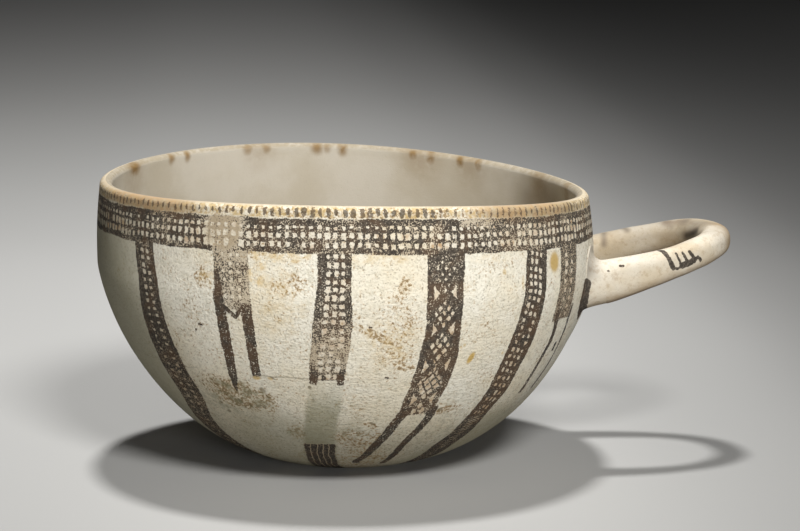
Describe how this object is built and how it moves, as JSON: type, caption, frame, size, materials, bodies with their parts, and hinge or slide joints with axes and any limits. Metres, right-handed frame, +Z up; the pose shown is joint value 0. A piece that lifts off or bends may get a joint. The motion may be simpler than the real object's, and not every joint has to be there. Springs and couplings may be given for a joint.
{
  "type": "one-handled bowl",
  "caption": "Hand-built round-bottomed ceramic bowl with painted lattice bands and a horizontal loop handle set into its wall.",
  "frame": {"origin": "middle of the flattened foot, on the surface that the bowl stands on", "axes": "+Z up out of the mouth, +X along the handle away from the bowl, +Y to the far arm of the handle"},
  "size_m": [0.2409, 0.1876, 0.1088],
  "materials": {
    "slip_lower": "matt cream slip, worn and stained, with the ends of dark painted stripes",
    "slip_upper": "matt cream slip with dark brown painted lattice bands",
    "slip_handle": "matt cream slip with a few dark painted strokes",
    "luting_clay": "smoothed clay under the same matt cream slip"
  },
  "bodies": {
    "root": {"bowl_lower": "slip_lower", "bowl_upper": "slip_upper", "wishbone_handle": "slip_handle", "far_outer_collar": "luting_clay", "near_outer_collar": "luting_clay", "far_inner_pad": "luting_clay", "near_inner_pad": "luting_clay"}
  },
  "joints": []
}
